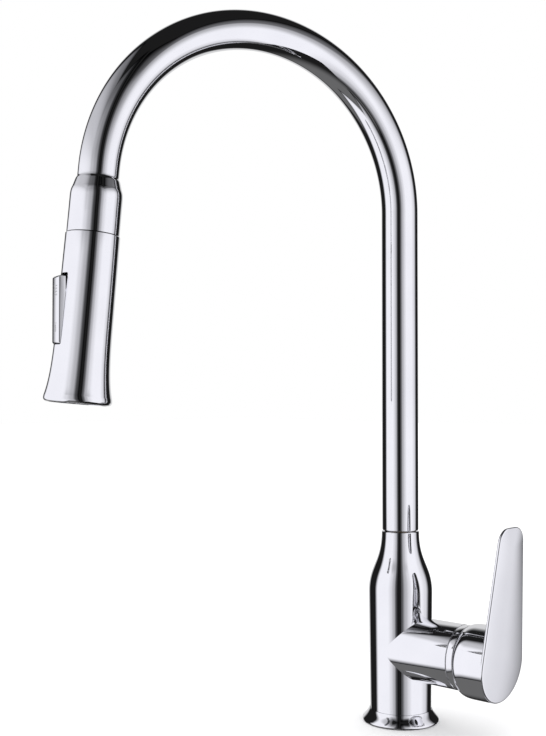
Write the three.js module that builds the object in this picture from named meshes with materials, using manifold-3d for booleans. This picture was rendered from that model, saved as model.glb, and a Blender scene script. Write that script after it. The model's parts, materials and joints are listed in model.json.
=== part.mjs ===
// Single-lever pull-down kitchen faucet: gooseneck spout on a side-lever body, with a docked spray head.
// Millimetres, +Z up. The origin is the centre of the base, on the deck. -Y is the front, over the sink,
// and the valve arm and its lever point along +X. At rest the spout is swivelled a little off the front.
import * as THREE from "three";
import { mergeVertices } from "three/addons/utils/BufferGeometryUtils.js";
import Module from "manifold-3d";

const wasm = await Module();
wasm.setup();

// ---------- driving dimensions ----------
const GAP = 0.3; // clearance between neighbouring pieces
const CUT = 5; // how far a cutter runs past what it cuts
const ROUND = 32; // sides of a large visible round
const FINE = 20; // sides of a hidden round
const SMALL = 12; // sides of a screw, a port or a pin
const RIGHT_ANGLE = Math.PI / 2;

// base and body
const FLANGE_R = 26.1;
const FLANGE_RIM_R = 1.4;
const FLANGE_H = 8.7;
const GASKET_H = 1.5;
const GASKET_IN_R = 14.3;
const GASKET_OUT_R = 23.4;
const BODY_FOOT_R = 20.8;
const BODY_R = 21.8;
const BODY_SHOULDER_Z = 88.2;
const BODY_TOP_Z = 130;
const NECK_R = 12.9;
const NECK_EDGE = 0.8;
const BODY_BORE_R = 18.4;
const BODY_BORE_TOP_Z = 90;
const NECK_BORE_R = 10.4;
const HOSE_PASSAGE_R = 7.2;

// side arm, trim ring and bonnet, measured along +X from the body's axis
const ARM_Z = 50.8;
const ARM_R = 21.4;
const ARM_END_X = 51.2;
const ARM_BORE_R = 17.9;
const RING_X = [51.5, 56.3];
const STEM_PIVOT_X = 41; // the lever tilts about this point, so the bonnet is a sphere about it too
const BONNET_R = 26.3;
const BONNET_WALL = 1.7;
const BONNET_MOUTH_X = 62.4;

// cartridge, along the arm
const CORE_TOP_Z = 68;
const CORE_FACE_X = 19.5;
const CARTRIDGE_R = 17.2;
const CARTRIDGE_X = [21.3, 45];
const DISC_R = 14.4;
const PORT_R = 3;
const PORT_OFFSET = 10.9; // from the axis of the body or of the arm to a port
const DISC_DRIVE_X = 35; // where the stem's ball end drives the moving disc
const STEM_W = 6;
const STEM_H = 7;

// handle
const HUB_X = 57;
const HUB_R = 24.2;
const HUB_DROP = 0.8; // the hub's outside is cast this much below the arm's axis
const HUB_BORE_R = 21.8;
const HUB_FLOOR_X = 68.5;
const HUB_SHOULDER = 8;
const PADDLE_FACE_X = 81.5; // where the paddle's outer face crosses the arm's axis
const PADDLE_LEAN = THREE.MathUtils.degToRad(5.1);
const PADDLE_THICK = 2.8;
const PADDLE_TOP = 88.7; // above the arm's axis
const PADDLE_TOP_HALF_W = 14.4;
const PADDLE_CORNER_R = 10.4;
const SCREW_X = 73;

// spout
const TUBE_R = 12.5;
const TUBE_BORE_R = 10.9;
const SPOUT_BOTTOM_Z = 130.5;
const ARC_Z = 349.2;
const ARC_R = 110.5;
const ARC_TURN = THREE.MathUtils.degToRad(174.7);
const TAIL_LEN = 5.2; // straight tube between the arc and the collar
const DOCK_AXIS = new THREE.Vector3(0, -Math.sin(ARC_TURN), Math.cos(ARC_TURN)); // the way the head pulls out
const SPOUT_YAW = THREE.MathUtils.degToRad(-18);
const SPIGOT_R = 8.5;
const SPIGOT_PLUG_R = 10.6;
const SPIGOT_BORE_R = 6.8;
const SPIGOT_Z = [84, 162];
const O_RING_Z = [109, 115];
const HOSE_R = 5.6;
const HOSE_BOTTOM_Z = 14;
const HOSE_REACH = 20.5; // how far the hose runs below the collar's top

// docking collar and spray head, measured down the dock axis from the collar's end
const COLLAR_R = 15.8;
const COLLAR_LEN = 34.6;
const COLLAR_CONE = 10.4;
const COLLAR_WALL = 1.4;
const HEAD_TOP_R = 16.35;
const HEAD_R = 16.8;
const HEAD_MOUTH_R = 20.3;
const HEAD_LEN = 101;
const HEAD_WALL = 1.8;
const HEAD_SEAM = 0.4;
const NECK_OUT_R = 12;
const NECK_TOP_H = 18.2;
const ROCKER_W = 12;
const ROCKER_H = [-67, -27.1];
const SLOT_H = [-67.6, -24.9];
const ROCKER_PIVOT = { out: 12.9, h: -47 };
const ROCKER_EAR_X = 4.4;
const NOZZLE_RINGS = [
  { r: 10, count: 10 },
  { r: 14.4, count: 16 },
];
const NOZZLE_R = 0.8;

// ---------- finishes ----------
const FINISHES = {
  chrome: { color: 0xdfe1e6, roughness: 0.08, metalness: 1 },
  brass: { color: 0xc9a45c, roughness: 0.35, metalness: 1 },
  steel: { color: 0xb4b6b8, roughness: 0.3, metalness: 1 },
  rubber: { color: 0x2a2b2e, roughness: 0.8, metalness: 0 },
  nozzleRubber: { color: 0x8b8f96, roughness: 0.7, metalness: 0 },
  whitePlastic: { color: 0xe6e6e2, roughness: 0.5, metalness: 0 },
  greyPlastic: { color: 0x5b5e63, roughness: 0.5, metalness: 0 },
  ceramic: { color: 0xf2f0ea, roughness: 0.3, metalness: 0 },
  braid: { color: 0x9aa0a8, roughness: 0.55, metalness: 0 },
};

// ---------- helpers ----------

// A closed three.js geometry as a manifold-3d solid.
function solid(geometry) {
  const bare = geometry.index ? geometry.toNonIndexed() : geometry.clone();
  bare.deleteAttribute("normal");
  bare.deleteAttribute("uv");
  const merged = mergeVertices(bare, 1e-4);
  return new wasm.Manifold(
    new wasm.Mesh({
      numProp: 3,
      vertProperties: new Float32Array(merged.attributes.position.array),
      triVerts: new Uint32Array(merged.index.array),
    }),
  );
}

// A manifold-3d solid as a three.js geometry.
function geometryOf(body) {
  const mesh = body.getMesh();
  const geometry = new THREE.BufferGeometry();
  geometry.setAttribute("position", new THREE.BufferAttribute(mesh.vertProperties, 3));
  geometry.setIndex(new THREE.BufferAttribute(mesh.triVerts, 1));
  geometry.computeVertexNormals();
  return geometry;
}

function cut(geometry, ...cutters) {
  return geometryOf(cutters.reduce((left, c) => left.subtract(solid(c)), solid(geometry)));
}

function join(geometry, ...others) {
  return geometryOf(others.reduce((sum, o) => sum.add(solid(o)), solid(geometry)));
}

// A solid of revolution about Z. The profile is a list of [radius, z], up its outer side and closed.
function turned(profile, sides) {
  const closed = profile[0][0] > 0 ? [...profile, profile[0]] : profile;
  const points = closed.map(([r, z]) => new THREE.Vector2(r, z));
  return new THREE.LatheGeometry(points, sides).rotateX(RIGHT_ANGLE);
}

function rod(radius, z0, z1, sides) {
  return turned([[0, z0], [radius, z0], [radius, z1], [0, z1]], sides);
}

function ring(inner, outer, z0, z1, sides) {
  return turned([[inner, z0], [outer, z0], [outer, z1], [inner, z1]], sides);
}

// An O-ring: a ring of round section about Z.
function oRing(radius, thickness, z, sides) {
  return new THREE.TorusGeometry(radius, thickness, 6, sides).translate(0, 0, z);
}

function box(x, y, z) {
  const size = [x, y, z].map(([low, high]) => high - low);
  const middle = [x, y, z].map(([low, high]) => (low + high) / 2);
  return new THREE.BoxGeometry(...size).translate(...middle);
}

// Points on a circular arc, as [radius, z] pairs for a profile.
function arcPoints(r, z, radius, from, to, steps) {
  return Array.from({ length: steps + 1 }, (_, i) => {
    const angle = from + ((to - from) * i) / steps;
    return [r + radius * Math.cos(angle), z + radius * Math.sin(angle)];
  });
}

// Points on a cubic curve between two profile points, pulled by two control points.
function curvePoints(start, pullStart, pullEnd, end, steps) {
  const corners = [start, pullStart, pullEnd, end].map((p) => new THREE.Vector2(...p));
  return new THREE.CubicBezierCurve(...corners).getPoints(steps).map((p) => [p.x, p.y]);
}

function addMesh(group, name, finish, geometry) {
  const mesh = new THREE.Mesh(geometry, new THREE.MeshStandardMaterial(FINISHES[finish]));
  mesh.name = name;
  group.add(mesh);
  return mesh;
}

// ---------- base and body ----------

function baseFlange() {
  const inner = BODY_FOOT_R + GAP;
  const recess = GASKET_OUT_R + GAP;
  return turned(
    [
      [recess, 0],
      ...arcPoints(FLANGE_R - FLANGE_RIM_R, FLANGE_RIM_R, FLANGE_RIM_R, -RIGHT_ANGLE, 0.5, 4),
      ...curvePoints([FLANGE_R - 0.5, 3.1], [24, 4.6], [22.1, 6.4], [inner + 0.3, FLANGE_H], 4),
      [inner, FLANGE_H],
      [inner, GASKET_H + GAP],
      [recess, GASKET_H + GAP],
    ],
    ROUND,
  );
}

// The outline of the bottle-shaped casting, from its foot to its neck.
function bodyProfile() {
  const shoulder = [BODY_R, BODY_SHOULDER_Z];
  const neck = [NECK_R, BODY_TOP_Z - NECK_EDGE];
  return [
    [0, GASKET_H + GAP],
    [BODY_FOOT_R, GASKET_H + GAP],
    ...curvePoints(shoulder, [BODY_R, 106.2], [13, 108.2], neck, 8),
    [NECK_R - NECK_EDGE, BODY_TOP_Z],
    [0, BODY_TOP_Z],
  ];
}

function bodyShell() {
  const outside = join(turned(bodyProfile(), ROUND), alongArm(rod(ARM_R, 0, ARM_END_X, ROUND)));
  return cut(
    outside,
    rod(BODY_BORE_R, -CUT, BODY_BORE_TOP_Z, FINE),
    rod(NECK_BORE_R, BODY_BORE_TOP_Z - CUT, BODY_TOP_Z + CUT, FINE),
    alongArm(rod(ARM_BORE_R, 0, ARM_END_X + CUT, FINE)),
  );
}

// The waterway: a block in the foot of the body with the hose passage down its middle, and the three
// ports that run up from under the deck and turn along the arm to the cartridge's seat.
function waterwayCore() {
  const foot = GASKET_H + GAP;
  const block = join(
    rod(BODY_BORE_R - GAP, foot, CORE_TOP_Z, FINE),
    alongArm(rod(ARM_BORE_R - GAP, 0, CORE_FACE_X, FINE)),
  );
  const cutters = portAngles().flatMap(({ turn, rise }) => {
    const x = PORT_OFFSET * Math.cos(turn);
    const y = PORT_OFFSET * Math.sin(turn);
    const seat = ARM_Z + rise;
    return [
      rod(PORT_R, -CUT, seat, SMALL).translate(x, y, 0),
      new THREE.CylinderGeometry(PORT_R, PORT_R, CORE_FACE_X + CUT - x, SMALL)
        .rotateZ(RIGHT_ANGLE)
        .translate((CORE_FACE_X + CUT + x) / 2, y, seat),
    ];
  });
  return cut(block, rod(HOSE_PASSAGE_R, -CUT, CORE_TOP_Z + CUT, FINE), ...cutters);
}

// Hot, cold and mixed water: where each port stands round the body's axis, and how far above the
// arm's axis it meets the cartridge.
function portAngles() {
  return [
    { turn: RIGHT_ANGLE, rise: -4 },
    { turn: -RIGHT_ANGLE, rise: -4 },
    { turn: 0, rise: 10 },
  ];
}

// The three ports as cutters along the arm, between two stations.
function portCutters(x0, x1) {
  return portAngles().map(({ turn, rise }) =>
    new THREE.CylinderGeometry(PORT_R, PORT_R, x1 - x0, SMALL)
      .rotateZ(RIGHT_ANGLE)
      .translate((x0 + x1) / 2, PORT_OFFSET * Math.sin(turn), ARM_Z + rise),
  );
}

// Turns geometry made along Z so that it lies along the arm.
function alongArm(geometry) {
  return geometry.rotateY(RIGHT_ANGLE).translate(0, 0, ARM_Z);
}

// ---------- cartridge ----------

function seatGasket() {
  return cut(alongArm(rod(16.8, 19.8, 21, FINE)), ...portCutters(18, 23));
}

function cartridgeHousing() {
  const [x0, x1] = CARTRIDGE_X;
  const cup = turned(
    [[0, x0], [CARTRIDGE_R, x0], [CARTRIDGE_R, x1], [DISC_R + 0.6, x1], [DISC_R + 0.6, x0 + 3], [0, x0 + 3]],
    FINE,
  );
  return cut(alongArm(cup), ...portCutters(x0 - 2, x0 + CUT));
}

function fixedDisc() {
  return cut(alongArm(rod(DISC_R, 24.6, 28.2, FINE)), ...portCutters(23, 30));
}

function movingDisc() {
  const disc = rod(9.8, 28.5, 35.5, FINE);
  return alongArm(cut(disc, rod(3.8, 31.5, 35.5 + CUT, SMALL)));
}

// The rotor that turns the ceramic disc, with a fork that holds the stem's pin.
function stemCarrier() {
  const body = turned([[0, 36], [14.6, 36], [14.6, 43.8], [9.8, 43.8], [9.8, 52], [0, 52]], FINE);
  const slot = box([-9.4, 9.4], [-STEM_W / 2 - 0.4, STEM_W / 2 + 0.4], [30, 60]);
  return alongArm(cut(body, slot, stemPinHole()));
}

function stemPinHole() {
  return rod(1.8, -20, 20, SMALL).rotateX(RIGHT_ANGLE).translate(0, 0, STEM_PIVOT_X);
}

function stemPin() {
  return alongArm(rod(1.5, -12, 12, SMALL).rotateX(RIGHT_ANGLE).translate(0, 0, STEM_PIVOT_X));
}

function cartridgeStem() {
  const bar = box([-STEM_H / 2, STEM_H / 2], [-STEM_W / 2, STEM_W / 2], [37, 76.6]);
  const ballEnd = new THREE.SphereGeometry(3.2, SMALL, 8).translate(0, 0, DISC_DRIVE_X);
  return alongArm(cut(join(bar, ballEnd), stemPinHole()));
}

function cartridgeNut() {
  const hexagon = rod(12, 40, 60, 6);
  return alongArm(cut(rod(ARM_BORE_R - GAP, 45.4, 49.4, FINE), hexagon));
}

// The bonnet: a threaded skirt in the arm and a spherical dome that the handle's hub slides over.
function bonnet() {
  const dome = (radius, x) => Math.sqrt(radius ** 2 - (x - STEM_PIVOT_X) ** 2);
  const inside = BONNET_R - BONNET_WALL;
  const start = RING_X[1] + GAP;
  const skirtR = ARM_BORE_R - GAP;
  const stations = [start, 58.6, 60.8, BONNET_MOUTH_X];
  return alongArm(
    turned(
      [
        [skirtR - 2.4, 49.7],
        [skirtR, 49.7],
        [skirtR, start],
        ...stations.map((x) => [dome(BONNET_R, x), x]),
        ...[...stations].reverse().map((x) => [dome(inside, x), x]),
        [skirtR - 2.4, start + 1],
      ],
      FINE,
    ),
  );
}

function trimRing() {
  return alongArm(ring(ARM_BORE_R, ARM_R, ...RING_X, ROUND));
}

// ---------- handle ----------

// The paddle's outline in its own plane: x across, y up from the arm's axis.
function paddleShape() {
  const cornerX = PADDLE_TOP_HALF_W - PADDLE_CORNER_R;
  const cornerY = PADDLE_TOP - PADDLE_CORNER_R;
  const reach = Math.hypot(cornerX, cornerY + HUB_DROP);
  const side = Math.atan2(cornerY + HUB_DROP, cornerX) - Math.acos((HUB_R - PADDLE_CORNER_R) / reach);
  const shape = new THREE.Shape();
  shape.absarc(0, -HUB_DROP, HUB_R, Math.PI - side, 2 * Math.PI + side, false);
  shape.absarc(cornerX, cornerY, PADDLE_CORNER_R, side, RIGHT_ANGLE, false);
  shape.absarc(-cornerX, cornerY, PADDLE_CORNER_R, RIGHT_ANGLE, Math.PI - side, false);
  return shape;
}

// Moves geometry from the paddle's plane (x across, y up, z out of its face) to its place.
function ontoPaddle(geometry) {
  return geometry
    .rotateX(RIGHT_ANGLE)
    .rotateZ(RIGHT_ANGLE)
    .rotateY(PADDLE_LEAN)
    .translate(PADDLE_FACE_X, 0, ARM_Z);
}

function handleLever() {
  const edge = 0.7;
  const paddle = new THREE.ExtrudeGeometry(paddleShape(), {
    depth: PADDLE_THICK - 2 * edge,
    bevelThickness: edge,
    bevelSize: edge,
    bevelOffset: -edge,
    bevelSegments: 1,
    curveSegments: 8,
  }).translate(0, 0, edge - PADDLE_THICK);
  const rim = [HUB_BORE_R + 0.3, HUB_X];
  const full = [HUB_R, HUB_X + HUB_SHOULDER];
  const hub = turned(
    [
      [0, HUB_X],
      ...curvePoints(rim, [HUB_R - 0.3, HUB_X + 1], [HUB_R, HUB_X + 4], full, 4),
      [HUB_R, PADDLE_FACE_X + HUB_SHOULDER],
      [0, PADDLE_FACE_X + HUB_SHOULDER],
    ],
    ROUND,
  );
  const beyondFace = box([-60, 60], [-60, 60], [-PADDLE_THICK / 2, 40]);
  const hubToPaddle = cut(alongArm(hub).translate(0, 0, -HUB_DROP), ontoPaddle(beyondFace));
  const cavity = rod(HUB_BORE_R, HUB_X - CUT, HUB_FLOOR_X, ROUND);
  const socket = box(
    [-STEM_H / 2 - GAP, STEM_H / 2 + GAP],
    [-STEM_W / 2 - GAP, STEM_W / 2 + GAP],
    [HUB_FLOOR_X - CUT, 77],
  );
  return cut(
    join(hubToPaddle, ontoPaddle(paddle)),
    alongArm(cavity),
    alongArm(socket),
    besideHub(rod(2.3, 0, 22, SMALL)),
    besideHub(rod(3.8, 19, 30, SMALL)),
  );
}

// Turns geometry made along Z so that it lies across the hub, pointing to the rear.
function besideHub(geometry) {
  return geometry.rotateX(-RIGHT_ANGLE).translate(SCREW_X, 0, ARM_Z);
}

// ---------- spout ----------

// The spout's centre line: one straight step up the riser, equal steps round the arc, and one straight
// step down the dock axis.
class SpoutPath extends THREE.Curve {
  constructor(bottomZ, arcSteps, tail) {
    super();
    this.bottomZ = bottomZ;
    this.arcSteps = arcSteps;
    this.tail = tail;
  }
  getPoint(t) {
    const step = t * (this.arcSteps + 2);
    if (step < 1) return new THREE.Vector3(0, 0, THREE.MathUtils.lerp(this.bottomZ, ARC_Z, step));
    const past = Math.max(0, step - 1 - this.arcSteps);
    return arcPoint(Math.min(1, (step - 1) / this.arcSteps)).addScaledVector(DOCK_AXIS, this.tail * past);
  }
  getUtoTmapping(u) {
    return u;
  }
}

// A point on the arc, from the riser (0) to the arc's lower end (1).
function arcPoint(share) {
  const angle = ARC_TURN * share;
  return new THREE.Vector3(0, -ARC_R * (1 - Math.cos(angle)), ARC_Z + ARC_R * Math.sin(angle));
}

function circleShape(radius, boreRadius) {
  const shape = new THREE.Shape();
  shape.absarc(0, 0, radius, 0, 2 * Math.PI, false);
  if (boreRadius > 0) {
    const bore = new THREE.Path();
    bore.absarc(0, 0, boreRadius, 0, 2 * Math.PI, true);
    shape.holes.push(bore);
  }
  return shape;
}

function swept(shape, path, steps, sides) {
  return new THREE.ExtrudeGeometry(shape, {
    steps,
    extrudePath: path,
    curveSegments: sides,
    bevelEnabled: false,
  });
}

// Moves geometry from the dock frame (Z up the dock axis, 0 at the collar's top) to the spout's frame.
function atDock(geometry) {
  const dock = arcPoint(1).addScaledVector(DOCK_AXIS, TAIL_LEN);
  return geometry.rotateX(ARC_TURN - Math.PI).translate(dock.x, dock.y, dock.z);
}

// The docking collar's shell, widening from the tube to the spray head's diameter.
function collarShell() {
  const boreR = COLLAR_R - COLLAR_WALL;
  return turned(
    [
      [TUBE_BORE_R + 0.2, 0.4],
      [TUBE_BORE_R, -1.5],
      [boreR, -COLLAR_CONE - 1],
      [boreR, -COLLAR_LEN],
      [COLLAR_R - 0.4, -COLLAR_LEN],
      [COLLAR_R, -COLLAR_LEN + 0.4],
      [COLLAR_R - 0.1, -COLLAR_CONE - 2.2],
      [COLLAR_R - 0.6, -COLLAR_CONE],
      [TUBE_R + 0.5, -1.4],
      [TUBE_R, 0.4],
    ],
    ROUND,
  );
}

function spoutTube() {
  const arcSteps = 28;
  const path = new SpoutPath(SPOUT_BOTTOM_Z, arcSteps, TAIL_LEN);
  const tube = swept(circleShape(TUBE_R, TUBE_BORE_R), path, arcSteps + 2, 12);
  return join(tube, atDock(collarShell()));
}

function spoutSpigot() {
  const [z0, z1] = SPIGOT_Z;
  const groove = (z) => [[SPIGOT_R, z - 1.1], [8, z - 1.1], [8, z + 1.1], [SPIGOT_R, z + 1.1]];
  return turned(
    [
      [SPIGOT_BORE_R, z0],
      [SPIGOT_R, z0],
      ...groove(88.2),
      ...groove(O_RING_Z[0]),
      ...groove(O_RING_Z[1]),
      [SPIGOT_R, BODY_TOP_Z + GAP],
      [SPIGOT_PLUG_R, BODY_TOP_Z + GAP],
      [SPIGOT_PLUG_R, z1],
      [SPIGOT_BORE_R, z1],
    ],
    FINE,
  );
}

function spoutClip() {
  const clip = ring(8.2, 12.4, 87.5, 88.9, FINE);
  return cut(clip, box([0, 20], [-5, 5], [85, 95]));
}

function spoutBush(z0, z1) {
  return ring(SPIGOT_R + GAP, NECK_BORE_R - GAP, z0, z1, FINE);
}

// ---------- hose ----------

function pullHose() {
  const arcSteps = 24;
  const path = new SpoutPath(HOSE_BOTTOM_Z, arcSteps, TAIL_LEN + HOSE_REACH);
  return swept(circleShape(HOSE_R, 0), path, arcSteps + 2, 4);
}

function hoseTailCoupling() {
  return turned([[2.5, 2], [6.2, 2], [6.2, 9], [6.8, 9], [6.8, 13.7], [2.5, 13.7]], SMALL);
}

// ---------- spray head, in the head frame: Z up the dock axis, 0 at the top of the shell ----------

// Moves geometry from the head frame to the spout's frame.
function atHead(geometry) {
  return atDock(geometry.translate(0, 0, -COLLAR_LEN - HEAD_SEAM));
}

function sprayShell() {
  const inner = HEAD_TOP_R - HEAD_WALL;
  const flare = (offset) =>
    curvePoints(
      [HEAD_R - offset, -58],
      [HEAD_R + 0.2 - offset, -77],
      [HEAD_R + 1.1 - offset, -89],
      [HEAD_MOUTH_R - 0.1 - offset, -97.3],
      5,
    );
  const shell = turned(
    [
      [HEAD_TOP_R - 0.5, 0],
      [NECK_OUT_R + GAP, 0],
      [NECK_OUT_R + GAP, -2],
      [inner, -2],
      ...flare(HEAD_WALL + 0.2),
      [HEAD_MOUTH_R - HEAD_WALL, -HEAD_LEN + 0.6],
      [HEAD_MOUTH_R - HEAD_WALL + 0.6, -HEAD_LEN],
      [HEAD_MOUTH_R - 0.9, -HEAD_LEN],
      [HEAD_MOUTH_R, -HEAD_LEN + 1.5],
      ...flare(0).reverse(),
      [HEAD_TOP_R, -0.6],
    ],
    ROUND,
  );
  const halfW = ROCKER_W / 2 + 0.35;
  return cut(shell, box([-halfW, halfW], [-30, -9], SLOT_H));
}

function dockingNeck() {
  return turned(
    [
      [9.2, -5],
      [14, -5],
      [14, -2.4],
      [NECK_OUT_R, -2.4],
      [NECK_OUT_R, NECK_TOP_H - 1],
      [NECK_OUT_R - 1, NECK_TOP_H],
      [9.2, NECK_TOP_H],
    ],
    FINE,
  );
}

// The head's own waterway: a tube from the hose nut to a dish behind the nozzles, with two ears for
// the rocker's pin on its outward side.
function sprayCore() {
  const body = turned(
    [
      [4.6, -5.3],
      [4.6, -74],
      [11.8, -84],
      [11.8, -91.6],
      [14.6, -91.6],
      [14.6, -83],
      [8, -72],
      [8, -22],
      [10.5, -20],
      [10.5, -5.3],
    ],
    FINE,
  );
  const { out, h } = ROCKER_PIVOT;
  const ears = [-1, 1].map((side) =>
    box([side * ROCKER_EAR_X - 0.9, side * ROCKER_EAR_X + 0.9], [-out - 1.8, -4], [h - 3, h + 3]),
  );
  return cut(join(body, ...ears), rod(4.6, -73, 0, FINE), rockerPinCutter(1.2));
}

// A rod along X through the rocker's pivot.
function rockerPinCutter(radius) {
  const { out, h } = ROCKER_PIVOT;
  return rod(radius, -20, 20, SMALL).rotateY(RIGHT_ANGLE).translate(0, -out, h);
}

function rockerPin() {
  const { out, h } = ROCKER_PIVOT;
  return rod(0.9, -5.3, 5.3, SMALL).rotateY(RIGHT_ANGLE).translate(0, -out, h);
}

// The rocker's side outline, extruded across the head. Its outer face leans, so that one end stands
// proud of the shell and the other is flush with it.
function rockerButton() {
  const [low, high] = ROCKER_H;
  const { out, h } = ROCKER_PIVOT;
  const outline = new THREE.Shape([
    new THREE.Vector2(12.8, low),
    new THREE.Vector2(16.2, low),
    new THREE.Vector2(16.9, low + 0.8),
    new THREE.Vector2(20.4, high - 1.2),
    new THREE.Vector2(19.6, high),
    new THREE.Vector2(16.4, high),
    new THREE.Vector2(14.9, h + 4),
    new THREE.Vector2(11.2, h + 2),
    new THREE.Vector2(11.2, h - 2),
    new THREE.Vector2(13.9, h - 4),
  ]);
  const slab = new THREE.ExtrudeGeometry(outline, { depth: ROCKER_W, bevelEnabled: false })
    .translate(0, 0, -ROCKER_W / 2)
    .rotateX(RIGHT_ANGLE)
    .rotateZ(-RIGHT_ANGLE);
  const earRoom = [-1, 1].map((side) =>
    box([side * 5.6 - 2.5, side * 5.6 + 2.5], [-out - 2.4, 0], [h - 5, h + 5]),
  );
  return cut(slab, ...earRoom, rockerPinCutter(1.2));
}

function diverterPlunger() {
  return turned(
    [
      [0, -62],
      [3.2, -62],
      [4.2, -60.5],
      [4.2, -58],
      [2.4, -57],
      [2.4, -50],
      [4.2, -49],
      [4.2, -46],
      [0, -46],
    ],
    SMALL,
  );
}

// Cylinders of one radius at every nozzle, between two heights.
function nozzles(radius, low, high) {
  return NOZZLE_RINGS.flatMap(({ r, count }) =>
    Array.from({ length: count }, (_, i) => {
      const angle = (2 * Math.PI * i) / count;
      return rod(radius, low, high, 6).translate(r * Math.cos(angle), r * Math.sin(angle), 0);
    }),
  );
}

function nozzleMat() {
  return join(ring(7.4, 16.4, -94.9, -92.6, FINE), ...nozzles(NOZZLE_R, -98.8, -94));
}

function sprayFace() {
  return cut(ring(6.9, 17.2, -98, -95.2, ROUND), ...nozzles(NOZZLE_R + GAP, -100, -94));
}

// ---------- assembly ----------

function addBase(group) {
  addMesh(group, "base_flange", "chrome", baseFlange());
  addMesh(group, "base_gasket", "rubber", ring(GASKET_IN_R, GASKET_OUT_R, 0, GASKET_H, FINE));
  addMesh(group, "body_shell", "chrome", bodyShell());
  addMesh(group, "waterway_core", "brass", waterwayCore());
  addMesh(group, "spout_bush_upper", "whitePlastic", spoutBush(119, 129));
  addMesh(group, "spout_bush_lower", "whitePlastic", spoutBush(94, 104));
}

function addCartridge(group) {
  addMesh(group, "seat_gasket", "rubber", seatGasket());
  addMesh(group, "cartridge_housing", "greyPlastic", cartridgeHousing());
  addMesh(group, "fixed_disc", "ceramic", fixedDisc());
  addMesh(group, "moving_disc", "ceramic", movingDisc());
  addMesh(group, "stem_carrier", "whitePlastic", stemCarrier());
  addMesh(group, "stem_pin", "steel", stemPin());
  addMesh(group, "cartridge_stem", "brass", cartridgeStem());
  addMesh(group, "cartridge_nut", "brass", cartridgeNut());
  addMesh(group, "bonnet", "chrome", bonnet());
  addMesh(group, "trim_ring", "chrome", trimRing());
}

function addHandle(group) {
  addMesh(group, "handle_lever", "chrome", handleLever());
  addMesh(group, "handle_set_screw", "steel", besideHub(rod(2, 3.6, 13, SMALL)));
  addMesh(group, "index_plug", "greyPlastic", besideHub(rod(3.5, 19.3, 23.4, SMALL)));
}

function addSpout(group) {
  addMesh(group, "spout_tube", "chrome", spoutTube());
  addMesh(group, "spout_spigot", "brass", spoutSpigot());
  addMesh(group, "spout_clip", "steel", spoutClip());
  addMesh(group, "spigot_oring_upper", "rubber", oRing(9.2, 0.85, O_RING_Z[1], FINE));
  addMesh(group, "spigot_oring_lower", "rubber", oRing(9.2, 0.85, O_RING_Z[0], FINE));
  addMesh(group, "dock_magnet", "greyPlastic", atDock(ring(8, 14.1, -14.8, -12.6, FINE)));
  addMesh(group, "dock_guide", "greyPlastic", atDock(ring(12.4, 14.1, -34.2, -16.2, FINE)));
  addMesh(group, "pull_hose", "braid", pullHose());
  addMesh(group, "hose_tail_coupling", "brass", hoseTailCoupling());
}

function addHead(group) {
  addMesh(group, "spray_shell", "chrome", atHead(sprayShell()));
  addMesh(group, "docking_neck", "greyPlastic", atHead(dockingNeck()));
  addMesh(group, "dock_plate", "steel", atHead(ring(7.8, 11.6, NECK_TOP_H + GAP, NECK_TOP_H + 1.5, FINE)));
  addMesh(group, "hose_ferrule", "steel", atHead(ring(HOSE_R + GAP, 7.2, 13.5, 34, FINE)));
  addMesh(group, "swivel_tail", "brass", atHead(swivelTail()));
  addMesh(group, "hose_nut", "brass", atHead(hoseNut()));
  addMesh(group, "inlet_screen", "rubber", atHead(ring(2.5, 7, -4.6, -3, SMALL)));
  addMesh(group, "spray_core", "whitePlastic", atHead(sprayCore()));
  addMesh(group, "check_valve", "whitePlastic", atHead(ring(1.8, 4.2, -18, -8, SMALL)));
  addMesh(group, "diverter_plunger", "whitePlastic", atHead(diverterPlunger()));
  addMesh(group, "rocker_pin", "steel", atHead(rockerPin()));
  addMesh(group, "rocker_button", "chrome", atHead(rockerButton()));
  addMesh(group, "face_gasket", "rubber", atHead(oRing(13.2, 0.35, -92.1, FINE)));
  addMesh(group, "nozzle_mat", "nozzleRubber", atHead(nozzleMat()));
  addMesh(group, "spray_face", "greyPlastic", atHead(sprayFace()));
  addMesh(group, "aerator_housing", "whitePlastic", atHead(ring(4.9, 6.5, -98.6, -86, FINE)));
  addMesh(group, "aerator_screen", "steel", atHead(rod(4.5, -97.4, -96.4, FINE)));
}

// The nipple on the hose's end, which turns freely inside the hose nut.
function swivelTail() {
  return turned([[2, 0], [5.6, 0], [5.6, 2.4], [4, 2.4], [4, 12.6], [2, 12.6]], SMALL);
}

// The nut that holds the hose's nipple on the spray head.
function hoseNut() {
  return turned([[6, -2.6], [8.9, -2.6], [8.9, 9], [4.4, 9], [4.4, 3], [6, 3]], FINE);
}

const faucet = new THREE.Group();
const spout = new THREE.Group();
spout.rotation.z = SPOUT_YAW;
faucet.add(spout);
addBase(faucet);
addCartridge(faucet);
addHandle(faucet);
addSpout(spout);
addHead(spout);

export default faucet;
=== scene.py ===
"""Polished-chrome pull-down kitchen faucet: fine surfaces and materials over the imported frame.

Sizes are in millimetres and become metres where a mesh is made. Every piece is built in one of four
places: UP (on the base's axis), ARM (along the valve arm), PADDLE (out of the lever's face) and HEAD
(up the spray head's axis, 0 at its top).
"""

import json
import math

import bmesh
import bpy
import numpy as np
from mathutils import Matrix, Vector


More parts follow.
